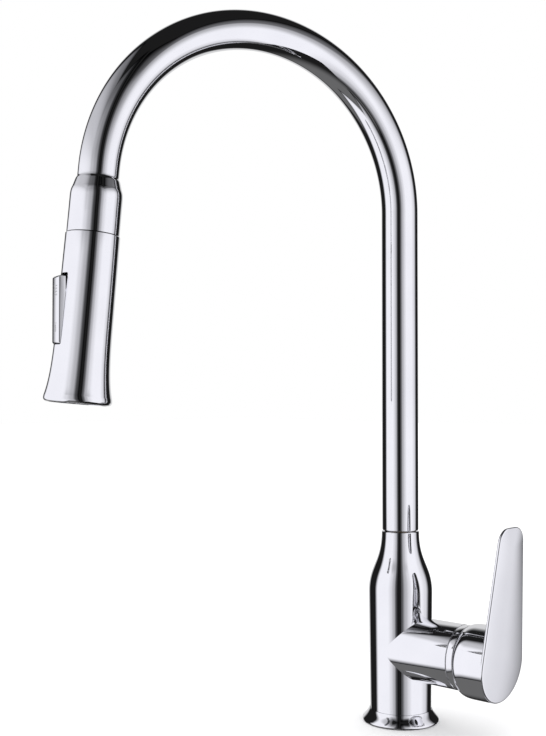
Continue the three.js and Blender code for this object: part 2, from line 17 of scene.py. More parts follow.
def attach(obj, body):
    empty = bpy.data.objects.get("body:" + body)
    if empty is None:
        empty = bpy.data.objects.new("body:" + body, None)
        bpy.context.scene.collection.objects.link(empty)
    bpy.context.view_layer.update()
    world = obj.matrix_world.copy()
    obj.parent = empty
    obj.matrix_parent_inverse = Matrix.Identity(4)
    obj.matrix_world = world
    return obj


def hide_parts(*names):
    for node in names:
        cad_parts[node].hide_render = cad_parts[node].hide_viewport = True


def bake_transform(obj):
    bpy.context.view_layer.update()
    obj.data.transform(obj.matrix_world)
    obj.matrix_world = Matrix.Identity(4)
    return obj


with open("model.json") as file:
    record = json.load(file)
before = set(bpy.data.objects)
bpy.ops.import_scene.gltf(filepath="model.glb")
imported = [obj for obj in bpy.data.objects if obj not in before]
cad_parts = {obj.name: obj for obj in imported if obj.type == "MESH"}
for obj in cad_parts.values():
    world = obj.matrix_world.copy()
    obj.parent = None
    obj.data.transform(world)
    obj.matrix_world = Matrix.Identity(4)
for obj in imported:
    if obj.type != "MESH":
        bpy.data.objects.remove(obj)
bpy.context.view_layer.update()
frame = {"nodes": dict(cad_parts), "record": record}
MM = 0.001
GAP = 0.3
JOINTS = {joint["name"]: joint for joint in frame["record"]["behaviour"]["joints"]}

# ---------- driving dimensions, in mm ----------
FLANGE_R, FLANGE_H, FLANGE_RIM_R = 26.1, 8.7, 1.4
GASKET_H, GASKET_IN_R, GASKET_OUT_R = 1.5, 14.3, 23.4
BODY_FOOT_R, BODY_R, BODY_SHOULDER_Z, BODY_TOP_Z = 20.8, 21.8, 88.2, 130.0
NECK_R, NECK_BORE_R, BODY_BORE_R, BODY_BORE_TOP_Z = 12.9, 10.4, 18.4, 90.0
ARM_Z, ARM_R, ARM_END_X, ARM_BORE_R = 50.8, 21.4, 51.2, 17.9
RING_X = (51.5, 56.3)
TILT_X, BONNET_R, BONNET_WALL, BONNET_MOUTH_X = 41.0, 26.3, 1.7, 62.4
HUB_X, HUB_R, HUB_DROP, HUB_BORE_R, HUB_FLOOR_X, HUB_SHOULDER = 57.0, 24.2, 0.8, 21.8, 68.5, 8.0
PADDLE_FACE_X, PADDLE_LEAN, PADDLE_THICK = 81.5, math.radians(5.1), 2.8
PADDLE_TOP, PADDLE_TOP_HALF_W, PADDLE_CORNER_R, PADDLE_CROWN = 88.7, 14.4, 10.4, 0.9
TUBE_R, TUBE_BORE_R, SPOUT_BOTTOM_Z, ARC_Z, ARC_R, TAIL_LEN = 12.5, 10.9, 130.5, 349.2, 110.5, 5.2
COLLAR_R, COLLAR_LEN, COLLAR_CONE, COLLAR_WALL = 15.8, 34.6, 10.4, 1.4
HEAD_TOP_R, HEAD_R, HEAD_MOUTH_R, HEAD_LEN, HEAD_WALL, HEAD_SEAM = 16.35, 16.8, 20.3, 101.0, 1.8, 0.4
NECK_OUT_R, NECK_TOP_H = 12.0, 18.2
ROCKER_W, ROCKER_H, SLOT_H, ROCKER_PIVOT = 12.0, (-67.0, -27.1), (-67.6, -24.9), (12.9, -47.0)
HOSE_R, HOSE_PULL = 5.6, JOINTS["head_pull"]["range_m"][1] / MM
NOZZLE_RINGS = ((10.0, 10), (14.4, 16))  # (radius, count)
ROUND = 128  # sides of a visible round


# ---------- places ----------
def along(origin, x_axis, z_axis):
    """The matrix of a place whose local Z and X run along the given directions, in metres."""
    z = Vector(z_axis).normalized()
    x = Vector(x_axis).normalized()
    y = z.cross(x)
    return Matrix.Translation(origin) @ Matrix((x, y, z)).transposed().to_4x4()


PULL = Vector(JOINTS["head_spin"]["axis"]).normalized()
OUTWARD = Vector((PULL.x, PULL.y, 0)).normalized()
ACROSS = Vector((-OUTWARD.y, OUTWARD.x, 0))
UP = Matrix.Identity(4)
ARM = along((0, 0, ARM_Z * MM), (0, 0, -1), (1, 0, 0))
HEAD = along(JOINTS["head_spin"]["pos_m"], ACROSS, -PULL)
PADDLE = (
    Matrix.Translation((PADDLE_FACE_X * MM, 0, ARM_Z * MM))
    @ Matrix.Rotation(PADDLE_LEAN, 4, "Y")
    @ along((0, 0, 0), (0, 1, 0), (1, 0, 0))
)


# ---------- profiles: lists of (radius, height) ----------
def arc(center, radius, start, end, steps):
    """Points round an arc. Angles are in degrees from the +radius direction."""
    angles = np.radians(np.linspace(start, end, steps + 1))
    return [(center[0] + radius * math.cos(a), center[1] + radius * math.sin(a)) for a in angles]


def bezier(p0, p1, p2, p3, steps):
    """Points along a cubic curve."""
    t = np.linspace(0, 1, steps + 1)[:, None]
    p0, p1, p2, p3 = (np.array(p, float) for p in (p0, p1, p2, p3))
    return (p0 * (1 - t) ** 3 + 3 * p1 * t * (1 - t) ** 2 + 3 * p2 * t**2 * (1 - t) + p3 * t**3).tolist()


def rounded(corners, steps=5):
    """A profile through corners of (radius, height, rounding), each one rounded off."""
    out = []
    for i, (r, z, fillet) in enumerate(corners):
        here = np.array((r, z), float)
        before = np.array(corners[i - 1][:2], float) - here
        after = np.array(corners[(i + 1) % len(corners)][:2], float) - here
        if not fillet or not before.any() or not after.any():
            out.append((r, z))
            continue
        a = here + before / np.linalg.norm(before) * fillet
        b = here + after / np.linalg.norm(after) * fillet
        out += bezier(a, a + (here - a) * 0.56, b + (here - b) * 0.56, b, steps)
    return out


# ---------- meshes ----------
def loops_mesh(loops, closed):
    """Vertices and faces of a skin through loops of points, each an (n, 3) array."""
    count = len(loops[0])
    verts = np.concatenate(loops)
    pairs = list(zip(range(len(loops)), range(1, len(loops))))
    if closed:
        pairs.append((len(loops) - 1, 0))
    faces = []
    for low, high in pairs:
        for i in range(count):
            j = (i + 1) % count
            faces.append((low * count + i, low * count + j, high * count + j, high * count + i))
    return verts, faces


def turned(profile, sides=ROUND):
    """A solid of revolution about local Z. A profile that leaves the axis closes on itself."""
    angles = np.linspace(0, 2 * math.pi, sides, endpoint=False)
    ring = np.stack([np.cos(angles), np.sin(angles), np.zeros(sides)], 1)
    loops = [ring * r + (0, 0, z) for r, z in profile]
    return loops_mesh(loops, profile[0][0] > 0)


def piece(name, shells, place, material, body, nodes=(), sharp=32):
    """One object from closed shells of mm vertices and faces, on its body, in place of its CAD nodes."""
    bm = bmesh.new()
    for verts, faces in shells:
        made = [bm.verts.new(Vector(v) * MM) for v in verts]
        for face in faces:
            bm.faces.new([made[i] for i in face])
    bmesh.ops.remove_doubles(bm, verts=bm.verts, dist=1e-7)
    bmesh.ops.dissolve_degenerate(bm, edges=bm.edges, dist=1e-8)
    bmesh.ops.recalc_face_normals(bm, faces=bm.faces)
    mesh = bpy.data.meshes.new(name)
    bm.to_mesh(mesh)
    bm.free()
    mesh.transform(place)
    return finish_piece(name, mesh, material, body, nodes, sharp)


def finish_piece(name, mesh, material, body, nodes, sharp):
    """Smooth faces with sharp edges, a material and a body for a new mesh."""
    mesh.polygons.foreach_set("use_smooth", [True] * len(mesh.polygons))
    mesh.set_sharp_from_angle(angle=math.radians(sharp))
    mesh.materials.append(material)
    obj = bpy.data.objects.new(name, mesh)
    bpy.context.collection.objects.link(obj)
    if body:
        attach(obj, body)
    if nodes:
        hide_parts(*nodes)
    return obj


# ---------- materials ----------
class Graph:
    """A node tree, with short calls for the few nodes that the studio and the finishes use."""

    def __init__(self, tree):
        self.tree = tree

    def link(self, source, target):
        self.tree.links.new(source, target)

    def math(self, operation, a, b=0.0):
        node = self.tree.nodes.new("ShaderNodeMath")
        node.operation = operation
        for socket, value in zip(node.inputs, (a, b)):
            if isinstance(value, (int, float)):
                socket.default_value = value
            else:
                self.link(value, socket)
        return node.outputs[0]

    def smooth(self, value, none, full):
        """A smooth step from 0 where value is none to 1 where it is full."""
        node = self.tree.nodes.new("ShaderNodeMapRange")
        node.interpolation_type = "SMOOTHSTEP"
        node.inputs["From Min"].default_value = min(none, full)
        node.inputs["From Max"].default_value = max(none, full)
        node.inputs["To Min"].default_value = float(none > full)
        node.inputs["To Max"].default_value = float(none < full)
        self.link(value, node.inputs["Value"])
        return node.outputs["Result"]

    def ramp(self, value, stops):
        """A smooth curve through (position, brightness) stops."""
        node = self.tree.nodes.new("ShaderNodeValToRGB")
        node.color_ramp.interpolation = "EASE"
        elements = node.color_ramp.elements
        while len(elements) < len(stops):
            elements.new(0.5)
        for element, (position, glow) in zip(elements, stops):
            element.position = position
            element.color = (glow, glow, glow, 1)
        self.link(value, node.inputs["Fac"])
        return node.outputs["Color"]

    def split_uv(self, layer):
        """The two coordinates of a UV layer."""
        uv = self.tree.nodes.new("ShaderNodeUVMap")
        uv.uv_map = layer
        split = self.tree.nodes.new("ShaderNodeSeparateXYZ")
        self.link(uv.outputs["UV"], split.inputs[0])
        return split.outputs["X"], split.outputs["Y"]


class Finish(Graph):
    """A new material's node tree, round its Principled shader."""

    def __init__(self, name):
        self.material = bpy.data.materials.new(name)
        self.material.use_nodes = True
        super().__init__(self.material.node_tree)
        self.bsdf = self.tree.nodes["Principled BSDF"]
        self.where = self.tree.nodes.new("ShaderNodeTexCoord").outputs["Object"]

    def noise(self, scale, detail=3.0, stretch=(1, 1, 1)):
        mapping = self.tree.nodes.new("ShaderNodeMapping")
        mapping.inputs["Scale"].default_value = stretch
        self.link(self.where, mapping.inputs["Vector"])
        node = self.tree.nodes.new("ShaderNodeTexNoise")
        node.inputs["Scale"].default_value = scale
        node.inputs["Detail"].default_value = detail
        self.link(mapping.outputs["Vector"], node.inputs["Vector"])
        return node.outputs["Fac"]

    def spread(self, value, low, high, source=(0.3, 0.7)):
        """The value's usual range, source, stretched over low to high."""
        node = self.tree.nodes.new("ShaderNodeMapRange")
        node.inputs["From Min"].default_value = source[0]
        node.inputs["From Max"].default_value = source[1]
        node.inputs["To Min"].default_value = low
        node.inputs["To Max"].default_value = high
        self.link(value, node.inputs["Value"])
        return node.outputs["Result"]

    def colours(self, value, first, second):
        node = self.tree.nodes.new("ShaderNodeMix")
        node.data_type = "RGBA"
        node.inputs["A"].default_value = (*first, 1)
        node.inputs["B"].default_value = (*second, 1)
        self.link(value, node.inputs["Factor"])
        self.link(node.outputs["Result"], self.bsdf.inputs["Base Color"])

    def bump(self, value, depth_mm):
        node = self.tree.nodes.new("ShaderNodeBump")
        node.inputs["Strength"].default_value = 1.0
        node.inputs["Distance"].default_value = depth_mm * MM
        self.link(value, node.inputs["Height"])
        self.link(node.outputs["Normal"], self.bsdf.inputs["Normal"])


def metal(name, clean, worn, rough, grain_mm, depth_mm, stretch=(1, 1, 1)):
    """A metal whose colour and roughness drift between clean and worn, with a fine grain."""
    g = Finish(name)
    g.bsdf.inputs["Metallic"].default_value = 1.0
    drift = g.noise(38, 4)
    grain = g.noise(1000 / grain_mm, 2, stretch)
    g.colours(g.spread(drift, 0, 1), clean, worn)
    handled = g.math("ADD", g.math("MULTIPLY", drift, 0.7), g.math("MULTIPLY", grain, 0.3))
    g.link(g.spread(handled, *rough), g.bsdf.inputs["Roughness"])
    g.bump(grain, depth_mm)
    return g.material


def moulded(name, clean, worn, rough, grain_mm=0.5, depth_mm=0.02, specular=0.5):
    """Plastic, rubber or ceramic with a moulded grain and scuffs."""
    g = Finish(name)
    g.bsdf.inputs["Specular IOR Level"].default_value = specular
    drift = g.noise(60, 5)
    grain = g.noise(1000 / grain_mm, 3)
    g.colours(g.spread(drift, 0, 1), clean, worn)
    g.link(g.spread(drift, *rough), g.bsdf.inputs["Roughness"])
    g.bump(grain, depth_mm)
    return g.material


def braided(name, strands=10, strand_mm=11.0):
    """Nylon braid: two families of helical strands that cross, laid out on the hose's own UVs."""
    g = Finish(name)
    across, along_hose = g.split_uv("braid")
    around = g.math("MULTIPLY", across, 2 * math.pi * strands)
    down = g.math("MULTIPLY", along_hose, 2 * math.pi / (strand_mm * MM))
    one_way = g.math("SINE", g.math("ADD", around, down))
    other_way = g.math("SINE", g.math("SUBTRACT", around, down))
    weave = g.math("MULTIPLY", one_way, other_way)
    g.colours(g.spread(weave, 0, 1, (-1, 1)), (0.09, 0.095, 0.105), (0.42, 0.43, 0.46))
    g.link(g.spread(g.noise(60, 5), 0.38, 0.6), g.bsdf.inputs["Roughness"])
    g.bump(weave, 0.35)
    return g.material


def make_finishes():
    """The finish of each of the record's slots, and of the marks on the rocker."""
    chrome = metal("chrome", (0.93, 0.93, 0.955), (0.89, 0.89, 0.92), (0.03, 0.06), 1.3, 0.0006)
    brass = metal("brass", (0.72, 0.55, 0.28), (0.5, 0.36, 0.17), (0.22, 0.42), 0.8, 0.01)
    brushed = (1, 1, 0.08)
    steel = metal("steel", (0.62, 0.62, 0.63), (0.45, 0.45, 0.46), (0.25, 0.42), 0.4, 0.006, brushed)
    return {
        "chrome": chrome,
        "brass": brass,
        "steel": steel,
        "rubber": moulded("rubber", (0.018, 0.018, 0.02), (0.035, 0.034, 0.034), (0.6, 0.85)),
        "nozzle_rubber": moulded("nozzle_rubber", (0.2, 0.205, 0.22), (0.13, 0.135, 0.15), (0.5, 0.75)),
        "white_plastic": moulded("white_plastic", (0.8, 0.8, 0.77), (0.7, 0.69, 0.64), (0.38, 0.55)),
        "grey_plastic": moulded("grey_plastic", (0.055, 0.056, 0.06), (0.085, 0.086, 0.09), (0.32, 0.5)),
        "ceramic": moulded("ceramic", (0.86, 0.85, 0.82), (0.78, 0.77, 0.73), (0.08, 0.2), 0.3, 0.004),
        "braid": braided("braid"),
        "mark": moulded("mark", (0.33, 0.33, 0.34), (0.4, 0.4, 0.41), (0.35, 0.5), 0.3, 0.005),
    }


FINISH = make_finishes()


def dress_cad_nodes():
    """Every CAD node takes its slot's finish; the replaced ones aren't shown."""
    for part in frame["record"]["subparts"]:
        mesh = frame["nodes"][part["node"]].data
        mesh.materials.clear()
        mesh.materials.append(FINISH[part["material_slot"]])


# ---------- camera ----------
VIEW_AZIMUTH = math.radians(42.8)
RIGHT = Vector((math.cos(VIEW_AZIMUTH), math.sin(VIEW_AZIMUTH), 0))
TOWARDS = Vector((math.sin(VIEW_AZIMUTH), -math.cos(VIEW_AZIMUTH), 0))
AIM_LEFT, CAMERA_DISTANCE, CAMERA_HEIGHT = 88.0, 783.2, 226.2  # mm from the base's axis and the deck
CAMERA_PITCH = math.radians(1.18)
FOCAL_LENGTH = 55.25


def studio_point(right, towards, height):
    """A point by its distances in mm right of the view's middle line, towards the camera, and up."""
    return (RIGHT * (right - AIM_LEFT) + TOWARDS * towards + Vector((0, 0, height))) * MM


def make_camera():
    data = bpy.data.cameras.new("camera")
    data.lens = FOCAL_LENGTH
    data.clip_start = 0.01
    camera = bpy.data.objects.new("camera", data)
    bpy.context.collection.objects.link(camera)
    camera.location = studio_point(0, CAMERA_DISTANCE, CAMERA_HEIGHT)
    look = -TOWARDS * math.cos(CAMERA_PITCH) + Vector((0, 0, math.sin(CAMERA_PITCH)))
    camera.rotation_euler = look.to_track_quat("-Z", "Y").to_euler()
    bpy.context.scene.camera = camera


# ---------- studio ----------
# Two soft lights stand in front of the faucet and turn back along its sides, in mm as for studio_point.
LEFT_PATH = ((-30, 455), (-330, 470), (-330, -150))
LEFT_ALONG = ((0, 0), (60, 0.07), (140, 0.5), (282, 0.8), (450, 1), (800, 1), (920, 0))
LEFT_UP = ((-300, 0), (-160, 1), (400, 1), (540, 0.6), (840, 0.2), (1050, 0))
RIGHT_PATH = ((30, 475), (340, 540), (400, -145))
RIGHT_ALONG = ((0, 0), (53, 0.1), (160, 0.5), (318, 0.8), (500, 1), (760, 1), (870, 0.8), (1000, 0))
RIGHT_UP = ((-360, 0), (-330, 1), (420, 1), (616, 0.5), (700, 0.15), (930, 0))


def light_wall(name, path, along_wall, up_wall):
    """A soft light standing on a path of (right, towards) floor points, hidden from the camera. Its
    brightness is the product of two ramps of (mm, brightness) stops: along the path, and by height."""
    low, high = up_wall[0][0], up_wall[-1][0]
    runs = [math.dist(a, b) for a, b in zip(path, path[1:])]
    marks = [sum(runs[:i]) for i in range(len(path))]
    verts = [studio_point(*point, height) for point in path for height in (low, high)]
    faces = [(2 * i, 2 * i + 2, 2 * i + 3, 2 * i + 1) for i in range(len(path) - 1)]
    mesh = bpy.data.meshes.new(name)
    mesh.from_pydata(verts, [], faces)
    layer = mesh.uv_layers.new(name="wall")
    for loop in mesh.loops:
        point, upper = divmod(loop.vertex_index, 2)
        layer.data[loop.index].uv = (marks[point] / marks[-1], upper)
    obj = bpy.data.objects.new(name, mesh)
    bpy.context.collection.objects.link(obj)
    obj.visible_camera = False
    obj.visible_diffuse = False
    obj.visible_shadow = False
    mesh.materials.append(wall_glow(name, along_wall, marks[-1], up_wall))


def wall_glow(name, along_wall, length, up_wall):
    """The glow of a light wall, laid out on its UVs."""
    g = Finish(name + "_glow")
    across, up = g.split_uv("wall")
    low, high = up_wall[0][0], up_wall[-1][0]
    side = g.ramp(across, [(mm / length, glow) for mm, glow in along_wall])
    rise = g.ramp(up, [((mm - low) / (high - low), glow) for mm, glow in up_wall])
    emission = g.tree.nodes.new("ShaderNodeEmission")
    emission.inputs["Color"].default_value = (0.955, 0.955, 1, 1)
    g.link(g.math("MULTIPLY", side, rise), emission.inputs["Strength"])
    g.link(emission.outputs[0], g.tree.nodes["Material Output"].inputs["Surface"])
    return g.material


def make_floor():
    """A plain pale deck. Chrome mirrors the studio in place of it."""
    half = 6.0
    corners = [(-half, -half, 0), (half, -half, 0), (half, half, 0), (-half, half, 0)]
    mesh = bpy.data.meshes.new("floor")
    mesh.from_pydata(corners, [], [(0, 1, 2, 3)])
    clean, worn, rough = (0.87, 0.87, 0.875), (0.875, 0.875, 0.88), (0.85, 0.95)
    mesh.materials.append(moulded("pale_floor", clean, worn, rough, 3, 0.002, specular=0))
    floor = bpy.data.objects.new("floor", mesh)
    bpy.context.collection.objects.link(floor)
    floor.visible_glossy = False


def make_world():
    """White to the camera, an even soft light on dull surfaces, and a dark studio in the chrome: black
    above and in front, grey below at the left, and the pale backdrop behind."""
    world = bpy.data.worlds.new("studio")
    bpy.context.scene.world = world
    world.use_nodes = True
    world.cycles.sampling_method = "NONE"
    g = Graph(world.node_tree)
    background = g.tree.nodes["Background"]
    direction = g.tree.nodes.new("ShaderNodeTexCoord").outputs["Generated"]
    split = g.tree.nodes.new("ShaderNodeSeparateXYZ")
    g.link(direction, split.inputs[0])
    mirrored = mirrored_studio(g, direction, split.outputs["Z"])
    path = g.tree.nodes.new("ShaderNodeLightPath")
    seen, diffuse = path.outputs["Is Camera Ray"], path.outputs["Is Diffuse Ray"]
    glossy = g.math("SUBTRACT", 1.0, g.math("MAXIMUM", seen, diffuse))
    plain = g.math("ADD", seen, g.math("MULTIPLY", diffuse, 1.45))
    strength = g.math("ADD", plain, g.math("MULTIPLY", glossy, mirrored))
    g.link(strength, background.inputs["Strength"])
    background.inputs["Color"].default_value = (1, 1, 1, 1)
    bpy.context.scene.view_settings.view_transform = "Standard"


def mirrored_studio(g, direction, height):
    """The brightness that chrome mirrors: a column of backdrop behind, and grey below at the left."""
    flat = g.math("SQRT", g.math("SUBTRACT", 1.0001, g.math("MULTIPLY", height, height)))
    facing = g.math("DIVIDE", towards_side(g, direction, -TOWARDS), flat)
    span = g.math("MULTIPLY", g.smooth(height, 0.78, 0.55), g.smooth(height, -0.45, -0.28))
    backdrop = g.math("MULTIPLY", g.math("MULTIPLY", g.smooth(facing, 0.86, 0.96), span), 0.7)
    leftwards = g.smooth(towards_side(g, direction, -RIGHT), -0.1, 0.25)
    low_left = g.math("MULTIPLY", leftwards, g.smooth(height, -0.42, -0.56))
    below = g.math("MULTIPLY", low_left, 0.13)
    return g.math("ADD", g.math("ADD", backdrop, below), 0.012)


def towards_side(g, direction, side):
    """How far a direction leans towards a side, from -1 to 1."""
    dot = g.tree.nodes.new("ShaderNodeVectorMath")
    dot.operation = "DOT_PRODUCT"
    dot.inputs[1].default_value = side
    g.link(direction, dot.inputs[0])
    return dot.outputs["Value"]


def make_studio():
    make_world()
    make_floor()
    light_wall("left_light", LEFT_PATH, LEFT_ALONG, LEFT_UP)
    light_wall("right_light", RIGHT_PATH, RIGHT_ALONG, RIGHT_UP)


# ---------- base and body ----------
def make_base():
    foot = BODY_FOOT_R + GAP
    recess = GASKET_OUT_R + GAP
    rim = (FLANGE_R - FLANGE_RIM_R, FLANGE_RIM_R)
    flange = [
        (recess, 0),
        *arc(rim, FLANGE_RIM_R, -90, 30, 10),
        *bezier((FLANGE_R - 0.25, 2.2), (FLANGE_R - 1.6, 4.4), (foot + 1, 6.2), (foot + 0.25, FLANGE_H), 14),
        (foot, FLANGE_H),
        (foot, GASKET_H + GAP),
        (recess, GASKET_H + GAP),
    ]
    piece("base_flange_skin", [turned(flange)], UP, FINISH["chrome"], "faucet_body", ["base_flange"])
    corners = [(GASKET_IN_R, 0), (GASKET_OUT_R, 0), (GASKET_OUT_R, GASKET_H), (GASKET_IN_R, GASKET_H)]
    gasket = rounded([(r, z, 0.3) for r, z in corners])
    piece("base_gasket_skin", [turned(gasket)], UP, FINISH["rubber"], "faucet_body", ["base_gasket"])


def body_profile():
    """The bottle-shaped casting's outside, then its bores."""
    edge = 0.8
    return [
        (BODY_BORE_R, GASKET_H + GAP),
        (BODY_FOOT_R, GASKET_H + GAP),
        (BODY_FOOT_R + (BODY_R - BODY_FOOT_R) * 0.5, 45),
        *bezier((BODY_R, BODY_SHOULDER_Z), (BODY_R, 106.2), (13, 108.2), (NECK_R, BODY_TOP_Z - edge), 40),
        *arc((NECK_R - edge, BODY_TOP_Z - edge), edge, 10, 90, 6),
        (NECK_BORE_R, BODY_TOP_Z),
        (NECK_BORE_R, BODY_BORE_TOP_Z),
        (BODY_BORE_R, BODY_BORE_TOP_Z),
    ]


def arm_shell(sides=192):
    """The side arm as wide as the body, so that the two meet in a mitre that fades out at the front."""
    angles = np.linspace(0, 2 * math.pi, sides, endpoint=False)
    inside_wall = BODY_BORE_R + 1.4
    start = np.sqrt(np.clip(inside_wall**2 - (ARM_R * np.sin(angles)) ** 2, 0, None))
    stations = [(ARM_R - 0.2, 0), (ARM_R, 14), (ARM_R, ARM_END_X - 0.4)]
    stations += arc((ARM_R - 0.4, ARM_END_X - 0.4), 0.4, 0, 90, 5)
    stations += [(ARM_BORE_R, ARM_END_X), (ARM_BORE_R, 24)]
    loops = []
    for radius, x in stations:
        along_arm = np.maximum(start, x)
        across, up = radius * np.sin(angles), radius * np.cos(angles)
        loops.append(np.stack([along_arm, across, up + ARM_Z], 1))
    return loops_mesh(loops, True)


def make_body():
    """The bottle and the side arm are two shells that run into each other in a saddle crease."""
    shells = [turned(body_profile(), 192), arm_shell()]
    piece("body_casting", shells, UP, FINISH["chrome"], "faucet_body", ["body_shell"])


def make_arm_trim():
    low, high = RING_X
    ring = rounded([(ARM_BORE_R, low, 0), (ARM_R, low, 0.35), (ARM_R, high, 0.5), (ARM_BORE_R, high, 0)])
    piece("trim_ring_skin", [turned(ring)], ARM, FINISH["chrome"], "faucet_body", ["trim_ring"])
    start, skirt = RING_X[1] + GAP, ARM_BORE_R - GAP
    stations = np.linspace(start, BONNET_MOUTH_X, 12)
    outside = [(math.sqrt(BONNET_R**2 - (x - TILT_X) ** 2), x) for x in stations]
    inside = [(math.sqrt((BONNET_R - BONNET_WALL) ** 2 - (x - TILT_X) ** 2), x) for x in stations[::-1]]
    dome = [(skirt - 2.4, 49.7), (skirt, 49.7), (skirt, start), *outside, *inside, (skirt - 2.4, start + 1)]
    piece("bonnet_skin", [turned(dome)], ARM, FINISH["chrome"], "faucet_body", ["bonnet"])


# ---------- handle ----------
def paddle_outline(count=192):
    """The paddle's outline: the hub's circle below, two rounded corners above, and straight sides."""
    corner = Vector((PADDLE_TOP_HALF_W - PADDLE_CORNER_R, PADDLE_TOP - PADDLE_CORNER_R))
    hub = Vector((0, -HUB_DROP))
    reach = (corner - hub).length
    side = math.atan2(corner.y - hub.y, corner.x) - math.acos((HUB_R - PADDLE_CORNER_R) / reach)
    low = np.linspace(math.pi - side, 2 * math.pi + side, 97)
    right = np.linspace(side, math.pi / 2, 25)
    bottom = np.array(hub) + HUB_R * np.stack([np.cos(low), np.sin(low)], 1)
    top_right = np.array(corner) + PADDLE_CORNER_R * np.stack([np.cos(right), np.sin(right)], 1)
    top_left = (top_right * (-1, 1))[::-1]
    points = np.concatenate([bottom, top_right, top_left[1:]])
    steps = np.linalg.norm(np.roll(points, -1, 0) - points, axis=1)
    travelled = np.concatenate([[0], np.cumsum(steps)])
    wrapped = np.concatenate([points, points[:1]])
    even = np.linspace(0, travelled[-1], count, endpoint=False)
    return np.stack([np.interp(even, travelled, wrapped[:, axis]) for axis in (0, 1)], 1)


def paddle_shell():
    """Rings from the face's spine over the crowned face, round the edge and across the back."""
    outline = paddle_outline()
    spine = np.stack([np.zeros(len(outline)), np.clip(outline[:, 1], 6, PADDLE_TOP - PADDLE_TOP_HALF_W)], 1)
    out = outline - spine
    reach = np.linalg.norm(out, axis=1, keepdims=True)
    edge = 1.0

    def ring(inset, share, height):
        flat = spine + out * ((1 - inset / reach) * share)
        return np.column_stack([flat, np.full(len(flat), height)])

    crown = PADDLE_CROWN
    rings = [ring(edge, f, crown * (1 - f**2) - 0.35) for f in np.linspace(0.001, 1, 16)]
    for angle in np.radians(np.linspace(12, 90, 7)):
        rings.append(ring(edge * (1 - math.sin(angle)), 1, -0.35 - edge * (1 - math.cos(angle))))
    back = -PADDLE_THICK
    for angle in np.radians(np.linspace(0, 90, 6)):
        rings.append(ring(edge * (1 - math.cos(angle)), 1, back + edge * (1 - math.sin(angle))))
    rings += [ring(edge, f, back) for f in (0.8, 0.5, 0.2, 0.001)]
    verts, faces = loops_mesh(rings, False)
    count = len(outline)
    last = len(rings) - 1
    faces.append(tuple(range(count)))
    faces.append(tuple(last * count + i for i in range(count)))
    return verts, faces


def hub_shell():
    """The cup behind the paddle. Its far end follows the paddle's lean, inside the paddle's thickness."""
    rim = (HUB_BORE_R + 0.35, HUB_X + 0.1)
    full = (HUB_R, HUB_X + HUB_SHOULDER)
    outside = [
        (HUB_BORE_R, HUB_X + 0.1),
        *bezier(rim, (HUB_R - 0.4, HUB_X + 0.6), (HUB_R, HUB_X + 3.6), full, 14),
        *[(HUB_R, x) for x in (67, 69, 71, 73)],
        (HUB_R - 0.02, PADDLE_FACE_X - PADDLE_THICK / 2),
        (0, PADDLE_FACE_X - PADDLE_THICK / 2),
        (0, HUB_FLOOR_X),
        (HUB_BORE_R, HUB_FLOOR_X),
    ]
    angles = np.linspace(0, 2 * math.pi, ROUND, endpoint=False)
    loops = []
    for radius, x in outside:
        y = radius * np.cos(angles)
        drop = HUB_DROP if radius > HUB_BORE_R else 0
        z = radius * np.sin(angles) - drop
        lean = z * math.tan(PADDLE_LEAN) if x > 74 else 0 * z
        loops.append(np.stack([x + lean, y, z + ARM_Z], 1))
    return loops_mesh(loops, True)


def make_handle():
    verts, faces = paddle_shell()
    placed = [tuple(PADDLE @ (Vector(v) * MM) / MM) for v in verts]
    shells = [(placed, faces), hub_shell()]
    piece("lever", shells, UP, FINISH["chrome"], "handle", ["handle_lever"], 40)


# ---------- spout ----------
# Distances in mm along the spout's centre line, from the tube's lower end.
RISE = ARC_Z - SPOUT_BOTTOM_Z
SPOUT_TURN = math.pi - math.acos(-PULL.z)
ARC_END = RISE + ARC_R * SPOUT_TURN
COLLAR_TOP = ARC_END + TAIL_LEN


def spout_place(distance):
    """Centre and axis of the spout's tube at a distance in mm above its lower end."""
    if distance <= RISE:
        return Vector((0, 0, SPOUT_BOTTOM_Z + distance)), Vector((0, 0, 1))
    angle = min((distance - RISE) / ARC_R, SPOUT_TURN)
    centre = OUTWARD * (ARC_R * (1 - math.cos(angle))) + Vector((0, 0, ARC_Z + ARC_R * math.sin(angle)))
    axis = OUTWARD * math.sin(angle) + Vector((0, 0, math.cos(angle)))
    return centre + axis * max(0, distance - ARC_END), axis


def spout_loop(distance, radius, sides=ROUND):
    centre, axis = spout_place(distance)
    in_plane = ACROSS.cross(axis)
    angles = np.linspace(0, 2 * math.pi, sides, endpoint=False)
    ring = np.outer(np.cos(angles), ACROSS) + np.outer(np.sin(angles), in_plane)
    return np.array(centre) + ring * radius


def spout_stations():
    """(distance, radius) up the outside of the tube and the collar, then back down the bore."""
    edge = 0.7
    quarter = np.linspace(math.pi / 2, 0, 6)
    lip = [(edge - edge * math.sin(a), TUBE_R - edge + edge * math.cos(a)) for a in quarter]
    riser = [(RISE * share, TUBE_R) for share in (0.1, 0.35, 0.65, 0.9)]
    outside_arc = [(distance, TUBE_R) for distance in np.linspace(RISE, ARC_END, 121)]
    bore = COLLAR_R - COLLAR_WALL
    end = COLLAR_TOP + COLLAR_LEN
    mouth = [(end, bore), (COLLAR_TOP + COLLAR_CONE + 1, bore), (COLLAR_TOP + 1.5, TUBE_BORE_R)]
    inside_arc = [(distance, TUBE_BORE_R) for distance in np.linspace(ARC_END, RISE, 31)]
    return [*lip, *riser, *outside_arc, *collar_outside(), *mouth, *inside_arc, (0, TUBE_BORE_R)]


